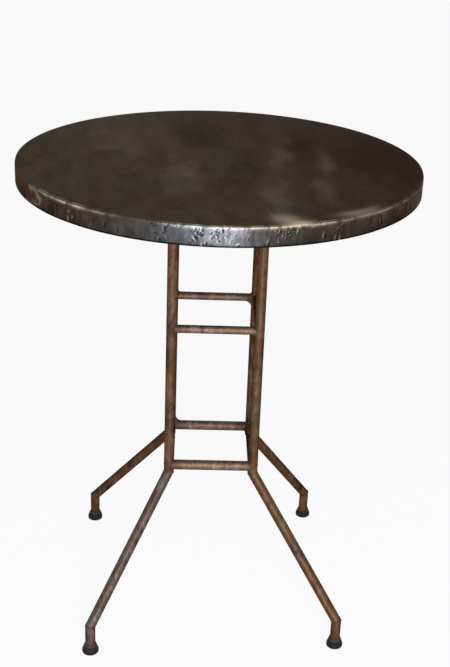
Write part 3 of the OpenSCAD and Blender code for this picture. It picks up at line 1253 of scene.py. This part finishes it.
    def clouded(self, x: np.ndarray, y: np.ndarray) -> np.ndarray:
        """Colour of the flat of the top: its patina, with painted reflections laid over it.

        Args:
            x: Places across, in metres.
            y: Places towards the back, in metres.

        Returns:
            Linear red, green and blue of each place.
        """
        finish = self.finish
        u, v = x / (2 * self.radius) + 0.5, y / (2 * self.radius) + 0.5
        shift = self.noise(SheetNoise.CLOUD_SHIFT).at(u * INSIDE, v)
        drift = self.noise(SheetNoise.CLOUD_DRIFT).at(u * INSIDE, v)
        start, full = finish.red_over_mm
        share = ease(start, full, x / MM)[:, None]
        olive = np.array(linear(finish.olive_black)[:3])
        red = np.array(linear(finish.red_black)[:3])
        colour = olive * (1 - share) + red * share
        # painted reflections of the room, laid over the patina
        for cloud in finish.reflection_clouds:
            turn = math.radians(cloud.turn_deg)
            dx = x / MM + cloud.ragged * shift - cloud.x
            dy = y / MM + finish.cloud_drift * cloud.ragged * drift - cloud.y
            across = (dx * math.cos(turn) + dy * math.sin(turn)) / cloud.across
            along = (dy * math.cos(turn) - dx * math.sin(turn)) / cloud.along
            soft = np.exp(-np.hypot(across, along) ** finish.cloud_rim)
            cover = (cloud.strength * soft)[:, None]
            colour = colour * (1 - cover) + np.array(linear(cloud.tint.value)[:3]) * cover
        return colour

    def paint_patina(
        self, piece: bpy.types.Object, depth: np.ndarray, lip_glints: np.ndarray, along: np.ndarray
    ) -> None:
        """Paints the patina: painted reflections on the top, worn areas and a painted sheen round the
        rim, painted shade in the dents and along its foot, and painted highlights over worn metal on its
        rounded edge and beside the dents.

        Args:
            piece: The finished piece.
            depth: Depth of the dents by angle and row.
            lip_glints: Strength of the painted highlights beside the dents by angle and row.
            along: Distance along the outline of each row.
        """
        finish = self.finish
        mesh = piece.data
        flat = np.empty(len(mesh.vertices) * 3)
        mesh.vertices.foreach_get("co", flat)
        co = flat.reshape(-1, 3)
        turn = np.arctan2(co[:, 1], co[:, 0])
        lap = turn / (2 * math.pi)
        fall = (self.top - co[:, 2]) / (self.top - self.bottom)
        warp = finish.warp_deg[0] * self.noise(SheetNoise.WARP).at(lap, fall)
        warp = warp + finish.warp_deg[1] * self.noise(SheetNoise.FINE_WARP).at(lap, fall)
        angle = (np.degrees(turn) + warp + 180.0) % 360.0 - 180.0
        umber = np.array(linear(RimTint.UMBER.value)[:3])
        # Rim side by angle: patina, with a painted warm reflection at the ends and a painted sheen at the
        # front
        crown = finish.laid_over(umber, angle, finish.faces)
        dent_shade = crown * finish.dent_shade_share
        rubbed = finish.laid_over(crown, angle, finish.bends)
        grid = self.columns * len(along)
        proud = np.ones(len(co))
        proud[:grid] = 1.0 - (depth / self.dent_limit).T.reshape(-1)
        lip = np.zeros(len(co))
        lip[:grid] = lip_glints.T.reshape(-1)
        # Rim side: dents painted dark, as painted shade over the patina kept in them, proud metal
        # lighter, varied at random by streaks and blotches
        streaks = self.noise(SheetNoise.STREAKS).at(lap, fall)
        blotches = self.noise(SheetNoise.BLOTCHES).at(lap, fall)
        lit = ease(0.05, 0.95, proud) + finish.streaked * streaks + finish.blotched * blotches - 0.05
        lit = np.clip(lit, 0.0, 1.3)[:, None]
        side = dent_shade * (1 - lit) + crown * lit
        side = side * (1 - finish.low_shade * ease(0.35, 1.0, fall)[:, None])
        # painted shade: a dark line along the foot of the rim, where it turns under
        side = side * (1 - finish.foot_shade * ease(0.85, 0.94, fall)[:, None])
        bend = self.flat_band + self.upper_edge * math.pi / 4
        past = np.where(co[:, 2] > self.top - self.sheet, -bend, along[-1])
        past[:grid] = np.repeat(along, self.columns) - bend
        middle = np.full(len(co), 0.5)
        ragged = finish.fray_mm[0] * MM * self.noise(SheetNoise.FRAY).at(lap, middle)
        ragged = ragged + finish.fray_mm[1] * MM * self.noise(SheetNoise.FINE_FRAY).at(lap, middle)
        start, full = finish.side_mm
        wall = ease(start * MM, full * MM, past + ragged)[:, None]
        colour = self.clouded(co[:, 0], co[:, 1]) * (1 - wall) + side * wall
        wear = self.noise(SheetNoise.WEAR).at(lap, middle)
        # painted highlight along the rounded upper edge over worn metal, in the tints of the bends,
        # broken up by noise
        drift = past + 0.4 * ragged
        band = np.where(drift < 0.0, finish.band_in_mm * MM, finish.band_out_mm * MM)
        edge = np.exp(-(drift / band) ** 2)
        edge = (edge * (0.2 + 0.8 * ease(-0.5, 0.2, wear)) * (0.3 + 0.7 * proud))[:, None]
        # painted highlights beside the dents, in the tints of the bends
        edge = np.maximum(edge, finish.lip_glint * wall * lip[:, None])
        colour = colour * (1 - edge) + rubbed * edge
        bare = np.maximum(wall * ease(0.3, 1.0, lit), edge)
        share = finish.dull_share * (1 - bare) + finish.rubbed_share * bare
        share = share * (1 - finish.metal_hidden * wall * finish.hidden_metal(angle)[:, None])
        # the patina attribute carries the painted reflections, sheen, highlights and shade as well
        layer = mesh.attributes.new("patina", "FLOAT_COLOR", "POINT")
        painted = np.concatenate([colour, share], 1).astype(np.float32)
        layer.data.foreach_set("color", painted.reshape(-1))

    def dress(self) -> None:
        """Builds and dresses the top with its boards and nails."""
        settle(self.build(), self.finish.material(), Slot.SHEET, "top_sheet")
        dress(("upper_board", "lower_board"), BoardWood().material())
        dress(("hem_nails", "bar_screws"), ZincSteel().material())
        dress(("long_cross_bar", "left_half_bar", "right_half_bar"), FlatBarSteel().material())


class Cove(Enum):
    """Cove radius of a weld in the corner of a rung and a post."""

    NEAT = 3.5 * MM
    FULL = 7.0 * MM
    HEAPED = 16.0 * MM


@dataclass
class PipeFrame:
    """The posts, rungs, legs and ankles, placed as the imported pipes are."""

    hip_height: float = 334.0 * MM
    ankle_height: float = 64.0 * MM
    rubbed: tuple[str, ...] = (
        "upper_rung_front", "upper_rung_back", "lower_rung_front", "lower_rung_back",
    )
    greyed: tuple[str, ...] = ("leg_front_left", "ankle_front_left")

    def __post_init__(self) -> None:
        """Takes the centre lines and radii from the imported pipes."""
        self.posts = {corner: self.centre(f"post_{corner}") for corner in CORNERS}
        self.feet = {corner: self.centre(f"foot_{corner}") for corner in CORNERS}
        low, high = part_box("post_front_left")
        self.pipe_radius = (high.x - low.x) / 2

    def centre(self, node: str) -> np.ndarray:
        """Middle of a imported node, in metres."""
        low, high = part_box(node)
        return (np.array(low) + np.array(high)) / 2

    def hip(self, corner: str) -> np.ndarray:
        """Place of the bend between a post and its leg."""
        x, y = self.posts[corner][:2]
        return np.array([x, y, self.hip_height])

    def ankle(self, corner: str) -> np.ndarray:
        """Place of the bend between a leg and its upright end."""
        x, y = self.feet[corner][:2]
        return np.array([x, y, self.ankle_height])

    def rung(self, level: str, side: str) -> tuple[np.ndarray, float]:
        """Middle and radius of a rung."""
        low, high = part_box(f"{level}_rung_{side}")
        return self.centre(f"{level}_rung_{side}"), (high.z - low.z) / 2

    def dress(self) -> None:
        """Gives the pipes their finishes."""
        pipes = [f"{part}_{corner}" for part in ("post", "leg", "ankle") for corner in CORNERS]
        pipes += [f"{level}_rung_{side}" for level in ("upper", "lower") for side in SIDES]
        plain = [name for name in pipes if name not in self.rubbed + self.greyed]
        dress(plain, RustedPipe().material())
        dress(self.rubbed, RubbedPipe().material())
        dress(self.greyed, GreyedPipe().material())


@dataclass
class WeldedJoints:
    """Weld metal: lumpy coves in the corners of rungs and posts, and rippled beads round the joints."""

    pipes: PipeFrame
    slim: float = 0.5 * MM
    sink: float = 0.5 * MM
    lump: float = 0.3 * MM
    ripple: float = 0.12 * MM
    ripple_pitch: float = 2.8 * MM
    bend_bead: float = 1.8 * MM
    rung_bead: float = 1.2 * MM
    bead_sink: float = 1.3 * MM
    bead_step: float = 0.9 * MM
    bead_points: int = 10
    bead_lumps: tuple[int, int] = (14, 3)
    cove_columns: int = 32
    cove_rows: int = 18
    cove_lumps: tuple[int, int] = (9, 5)
    seed: int = 53
    upper: tuple[tuple[tuple[Cove, Cove], ...], ...] = (
        ((Cove.FULL, Cove.HEAPED), (Cove.FULL, Cove.NEAT)),
        ((Cove.NEAT, Cove.NEAT), (Cove.NEAT, Cove.FULL)),
        ((Cove.NEAT, Cove.NEAT), (Cove.NEAT, Cove.FULL)),
        ((Cove.NEAT, Cove.FULL), (Cove.NEAT, Cove.NEAT)),
    )
    lower: tuple[tuple[tuple[Cove, Cove], ...], ...] = (
        ((Cove.NEAT, Cove.FULL), (Cove.HEAPED, Cove.NEAT)),
        ((Cove.FULL, Cove.NEAT), (Cove.NEAT, Cove.NEAT)),
        ((Cove.NEAT, Cove.NEAT), (Cove.NEAT, Cove.NEAT)),
        ((Cove.FULL, Cove.NEAT), (Cove.NEAT, Cove.FULL)),
    )

    def __post_init__(self) -> None:
        """Starts the count that gives each weld its own noise."""
        self.made = 0

    def fresh(self) -> int:
        """Seed for the next weld."""
        self.made += 1
        return self.seed + self.made

    def cove(
        self, draft: MeshDraft, post: np.ndarray, way: np.ndarray, lift: float, radius: float, size: float
    ) -> None:
        """Adds a bent lumpy bar that blends a rung into a post.

        Args:
            draft: Mesh under construction.
            post: Where the centre lines of post and rung meet.
            way: Direction of the rung away from the post.
            lift: 1 above the rung and -1 below it.
            radius: Radius of the rung.
            size: Radius of the cove.
        """
        tube = radius - self.slim
        bend = size + tube
        rise = np.array([0.0, 0.0, lift])
        middle = post + way * (self.pipes.pipe_radius + size - self.sink)
        middle = middle + rise * (radius + size - self.sink)
        side = np.cross(way, rise)
        around = np.linspace(0.0, 2 * math.pi, self.cove_columns, endpoint=False)
        lumps = PeriodicNoise(self.fresh(), *self.cove_lumps)
        rings = []
        for share in np.linspace(0.0, 1.0, self.cove_rows):
            turn = share * math.pi / 2
            spoke = -(way * math.cos(turn) + rise * math.sin(turn))
            swell = self.lump * lumps.at(around / (2 * math.pi), np.full(len(around), share))
            swell = swell + self.ripple * math.sin(2 * math.pi * turn * bend / self.ripple_pitch)
            thick = tube + swell * math.sin(math.pi * share)
            rings.append(draft.ring(
                middle + spoke * bend + np.outer(thick * np.cos(around), spoke)
                + np.outer(thick * np.sin(around), side)))
        for first, second in zip(rings, rings[1:]):
            draft.stitch(first, second)
        draft.cap(rings[0], middle - way * bend)
        draft.cap(rings[-1], middle - rise * bend)

    def bead(self, draft: MeshDraft, path: np.ndarray, outward: np.ndarray, thick: float) -> None:
        """Adds a rippled bead along a closed path.

        Args:
            draft: Mesh under construction.
            path: Points of the path.
            outward: Unit directions out of the surface at each point.
            thick: Radius of the bead.
        """
        ahead = np.roll(path, -1, axis=0) - np.roll(path, 1, axis=0)
        ahead = ahead / np.linalg.norm(ahead, axis=1)[:, None]
        side = np.cross(ahead, outward)
        side = side / np.linalg.norm(side, axis=1)[:, None]
        length = float(np.linalg.norm(np.roll(path, -1, axis=0) - path, axis=1).sum())
        waves = round(length / self.ripple_pitch)
        share = np.arange(len(path)) / len(path)
        lumps = PeriodicNoise(self.fresh(), *self.bead_lumps)
        around = np.linspace(0.0, 2 * math.pi, self.bead_points, endpoint=False)
        rings = []
        for i, point in enumerate(path):
            place = np.full(len(around), share[i])
            swell = self.lump * lumps.at(place, around / (2 * math.pi))
            swell = swell + self.ripple * math.cos(2 * math.pi * waves * share[i])
            radii = thick + swell
            rings.append(draft.ring(
                point + np.outer(radii * np.cos(around), outward[i])
                + np.outer(radii * np.sin(around), side[i])))
        for first, second in zip(rings, rings[1:] + rings[:1]):
            draft.stitch(first, second)

    def bend_ring(self, draft: MeshDraft, bend: np.ndarray, way: np.ndarray) -> None:
        """Adds the bead round a mitred bend.

        Args:
            draft: Mesh under construction.
            bend: Where the centre lines meet.
            way: Direction of the leg, downwards.
        """
        plane = way - np.array([0.0, 0.0, 1.0])
        radius = self.pipes.pipe_radius - self.bead_sink
        count = round(2 * math.pi * radius / self.bead_step)
        turn = np.linspace(0.0, 2 * math.pi, count, endpoint=False)
        outward = np.stack([np.cos(turn), np.sin(turn), np.zeros(count)], 1)
        path = bend + outward * radius
        path[:, 2] -= radius * (outward @ plane) / plane[2]
        self.bead(draft, path, outward, self.bend_bead)

    def saddle(self, draft: MeshDraft, post: np.ndarray, way: np.ndarray, radius: float) -> None:
        """Adds the bead where a rung meets a post.

        Args:
            draft: Mesh under construction.
            post: Where the centre lines of post and rung meet.
            way: Direction of the rung away from the post.
            radius: Radius of the rung.
        """
        rise = np.array([0.0, 0.0, 1.0])
        side = np.cross(way, rise)
        inner = radius - self.bead_sink / 2
        count = round(2 * math.pi * radius / self.bead_step)
        turn = np.linspace(0.0, 2 * math.pi, count, endpoint=False)
        across = inner * np.cos(turn)
        along = np.sqrt(np.maximum(self.pipes.pipe_radius ** 2 - across ** 2, 0.0))
        path = post + np.outer(along, way) + np.outer(across, side) + np.outer(inner * np.sin(turn), rise)
        outward = np.outer(np.cos(turn), side) + np.outer(np.sin(turn), rise)
        self.bead(draft, path, outward, self.rung_bead)

    def rung_welds(self, level: str, sizes: Sequence[Sequence[Sequence[Cove]]]) -> bpy.types.Object:
        """Builds the coves and beads at the ends of the four rungs of a level.

        Args:
            level: "upper" or "lower".
            sizes: Coves above and below each end of each rung.

        Returns:
            The finished piece.
        """
        draft = MeshDraft()
        for number, side in enumerate(SIDES):
            middle, radius = self.pipes.rung(level, side)
            for end in (0, 1):
                post = np.array(self.pipes.posts[CORNERS[(number + end) % len(CORNERS)]])
                post[2] = middle[2]
                way = (middle - post) / np.linalg.norm(middle - post)
                for below, lift in enumerate((1.0, -1.0)):
                    self.cove(draft, post, way, lift, radius, sizes[number][end][below].value)
                self.saddle(draft, post, way, radius)
        return draft.piece(f"{level}_rung_weld_beads", sharp_deg=60.0)

    def bend_welds(self) -> bpy.types.Object:
        """Builds the beads round the bends at the hips and ankles.

        Returns:
            The finished piece.
        """
        draft = MeshDraft()
        for corner in CORNERS:
            hip, ankle = self.pipes.hip(corner), self.pipes.ankle(corner)
            way = (ankle - hip) / np.linalg.norm(ankle - hip)
            self.bend_ring(draft, hip, way)
            self.bend_ring(draft, ankle, way)
        return draft.piece("bend_weld_beads", sharp_deg=60.0)

    def dress(self) -> None:
        """Builds and dresses the welds."""
        weld_metal = WeldMetal().material()
        settle(self.rung_welds("upper", self.upper), weld_metal, Slot.WELD, "upper_rung_welds")
        settle(self.rung_welds("lower", self.lower), weld_metal, Slot.WELD, "lower_rung_welds")
        settle(self.bend_welds(), weld_metal, Slot.WELD)
        dress(("post_top_welds",), weld_metal)


@dataclass
class RubberFeet:
    """The four ferrules: hollow sole, straight skirt, sloping shoulder and a soft lip round the pipe."""

    pipes: PipeFrame
    skirt: float = 7.0 * MM
    collar: float = 1.6 * MM
    socket_gap: float = 0.05 * MM
    sole: float = 5.0 * MM
    hollow_radius: float = 10.0 * MM
    hollow_depth: float = 1.2 * MM
    hollow_edge: float = 0.4 * MM
    floor_edge: float = 2.5 * MM
    shoulder: float = 4.0 * MM
    lip: float = 0.7 * MM
    wear: float = 0.22 * MM
    wear_cells: tuple[int, int] = (11, 4)
    columns: int = 112
    seed: int = 83
    finish: MouldedRubber = MouldedRubber()

    def profile(self, radius: float, height: float) -> np.ndarray:
        """Outline from the hollow of the sole, round the outside, to the bottom of the socket.

        Args:
            radius: Radius of the skirt.
            height: Height of the foot.

        Returns:
            Radius and height of each row.
        """
        socket = self.pipes.pipe_radius + self.socket_gap
        return rounded([
            (self.hollow_radius, self.hollow_depth, 0.0),
            (self.hollow_radius, 0.0, self.hollow_edge),
            (radius, 0.0, self.floor_edge),
            (radius, self.skirt, self.shoulder),
            (socket + self.collar, height, self.lip),
            (socket, height, self.lip / 2),
            (socket, self.sole, 0.0),
        ])

    def build(self, corner: str, number: int) -> bpy.types.Object:
        """Builds one foot as a closed skin.

        Args:
            corner: Corner of the table.
            number: Number of the foot, for its own wear.

        Returns:
            The finished piece.
        """
        low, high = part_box(f"foot_{corner}")
        x, y = (low.x + high.x) / 2, (low.y + high.y) / 2
        rows = self.profile((high.x - low.x) / 2, high.z)
        turn = np.linspace(0.0, 2 * math.pi, self.columns, endpoint=False)
        worn = PeriodicNoise(self.seed + number, *self.wear_cells)
        draft = MeshDraft()
        rings = []
        for radius, height in rows:
            outside = radius > self.pipes.pipe_radius + self.socket_gap + self.lip
            level = np.full(len(turn), height / high.z)
            dip = self.wear * (0.5 + 0.5 * worn.at(turn / (2 * math.pi), level))
            reach = radius - dip * outside
            rings.append(draft.ring(np.stack(
                [x + reach * np.cos(turn), y + reach * np.sin(turn), np.full(len(turn), height)], 1)))
        for first, second in zip(rings, rings[1:]):
            draft.stitch(first, second)
        draft.cap(rings[0], (x, y, self.hollow_depth))
        draft.cap(rings[-1], (x, y, self.sole))
        return draft.piece(f"rubber_foot_{corner}")

    def dress(self) -> None:
        """Builds and dresses the feet."""
        rubber = self.finish.material()
        for number, corner in enumerate(CORNERS):
            settle(self.build(corner, number), rubber, Slot.RUBBER, f"foot_{corner}")


@dataclass
class Camera:
    """Camera at the photograph's place, with its lens and framing."""

    place: tuple[float, float, float] = (-0.1956, -2.3989, 1.6911)
    yaw_deg: float = -6.601
    pitch_deg: float = 24.229
    roll_deg: float = 2.787
    focal_px: float = 1239.7
    centre_px: tuple[float, float] = (252.59, 340.05)
    image_px: tuple[int, int] = (450, 667)
    sensor_mm: float = 36.0
    clip_end: float = 200.0

    def build(self) -> None:
        """Adds the camera and makes it the scene's."""
        yaw, pitch, roll = (math.radians(a) for a in (self.yaw_deg, self.pitch_deg, self.roll_deg))
        ahead = Vector((
            -math.sin(yaw) * math.cos(pitch), math.cos(yaw) * math.cos(pitch), -math.sin(pitch)))
        level = Vector((math.cos(yaw), math.sin(yaw), 0.0))
        above = level.cross(ahead)
        right = math.cos(roll) * level + math.sin(roll) * above
        up = -math.sin(roll) * level + math.cos(roll) * above
        long_side = max(self.image_px)
        lens = bpy.data.cameras.new("photo_camera")
        lens.sensor_width = self.sensor_mm
        lens.lens = self.focal_px / long_side * self.sensor_mm
        lens.shift_x = (self.image_px[0] / 2 - self.centre_px[0]) / long_side
        lens.shift_y = (self.centre_px[1] - self.image_px[1] / 2) / long_side
        lens.clip_end = self.clip_end
        camera = bpy.data.objects.new("photo_camera", lens)
        camera.matrix_world = Matrix.Translation(self.place) @ Matrix(
            (right, up, -ahead)).transposed().to_4x4()
        bpy.context.scene.collection.objects.link(camera)
        bpy.context.scene.camera = camera


@dataclass(frozen=True)
class Softbox:
    """Square soft lamp: its place, what it points at, its size and its power."""

    name: str
    place: tuple[float, float, float]
    target: tuple[float, float, float]
    size: float
    watts: float
    colour: str


@dataclass
class Studio:
    """Pale floor, soft lamps and an even pale surround."""

    floor_radius: float = 60.0
    floor_sides: int = 96
    ambient: float = 0.22
    ambient_colour: str = "#FFFFFF"
    surround: str = "#FFFFFF"
    key: Softbox = Softbox("key_softbox", (0.15, -2.9, 1.75), (0.0, 0.0, 0.7), 0.75, 34.0, "#F2F5FF")
    fill: Softbox = Softbox("low_softbox", (-0.1, -2.9, 0.25), (0.0, 0.0, 0.45), 0.9, 54.0, "#F6F7FF")
    sun_strength: float = 0.6
    sun_spread_deg: float = 40.0
    sun_from: tuple[float, float, float] = (0.5, -3.0, 2.2)
    sun_colour: str = "#FFF6EA"

    def build(self) -> None:
        """Builds the floor, the lamps and the world."""
        self.build_floor()
        self.build_lamps()
        self.build_world()
        bpy.context.scene.view_settings.view_transform = "Standard"

    def build_floor(self) -> None:
        """Lays a large round floor."""
        draft = MeshDraft()
        turn = np.linspace(0.0, 2 * math.pi, self.floor_sides, endpoint=False)
        level = np.zeros(self.floor_sides)
        ring = draft.ring(np.stack(
            [self.floor_radius * np.cos(turn), self.floor_radius * np.sin(turn), level], 1))
        draft.cap(ring, (0.0, 0.0, 0.0))
        floor = draft.piece("studio_floor")
        if floor.data.polygons[0].normal.z < 0:
            floor.data.flip_normals()
        floor.data.materials.append(StudioFloor().material())

    def build_lamps(self) -> None:
        """Hangs a key in front at eye height, stands a fill low in front and adds a soft sun."""
        for box in (self.key, self.fill):
            lamp = bpy.data.lights.new(box.name, "AREA")
            lamp.size = box.size
            lamp.energy = box.watts
            lamp.color = linear(box.colour)[:3]
            self.aim(lamp, box.place, box.target)
        sun = bpy.data.lights.new("soft_sun", "SUN")
        sun.energy = self.sun_strength
        sun.angle = math.radians(self.sun_spread_deg)
        sun.color = linear(self.sun_colour)[:3]
        self.aim(sun, self.sun_from, (0.0, 0.0, 0.0))

    def aim(self, lamp: bpy.types.Light, place: Sequence[float], target: Sequence[float]) -> None:
        """Places a lamp and turns it to a target.

        Args:
            lamp: The lamp.
            place: Where it hangs.
            target: What it points at.
        """
        holder = bpy.data.objects.new(lamp.name, lamp)
        holder.location = place
        way = Vector(target) - Vector(place)
        holder.rotation_euler = way.to_track_quat("-Z", "Y").to_euler()
        bpy.context.scene.collection.objects.link(holder)

    def build_world(self) -> None:
        """Lights softly from all round, and shows a pale surround to eye and metal."""
        world = bpy.data.worlds.new("studio")
        world.use_nodes = True
        bpy.context.scene.world = world
        tree = world.node_tree
        tree.nodes.clear()
        lighting = add_node(
            tree, "ShaderNodeBackground",
            values={"Color": linear(self.ambient_colour), "Strength": self.ambient},
        )
        shown = add_node(
            tree, "ShaderNodeBackground", values={"Color": linear(self.surround), "Strength": 1.0})
        mixed = add_node(
            tree, "ShaderNodeMixShader",
            links={
                0: seen_ray(tree), 1: lighting.outputs["Background"], 2: shown.outputs["Background"],
            },
        )
        add_node(tree, "ShaderNodeOutputWorld", links={"Surface": mixed.outputs["Shader"]})


def main() -> None:
    """Builds the camera, the table and the studio in order."""
    Camera().build()
    CladTop().dress()
    pipes = PipeFrame()
    pipes.dress()
    WeldedJoints(pipes).dress()
    RubberFeet(pipes).dress()
    Studio().build()


if __name__ == "__main__":
    logging.basicConfig(level=logging.INFO)
    main()
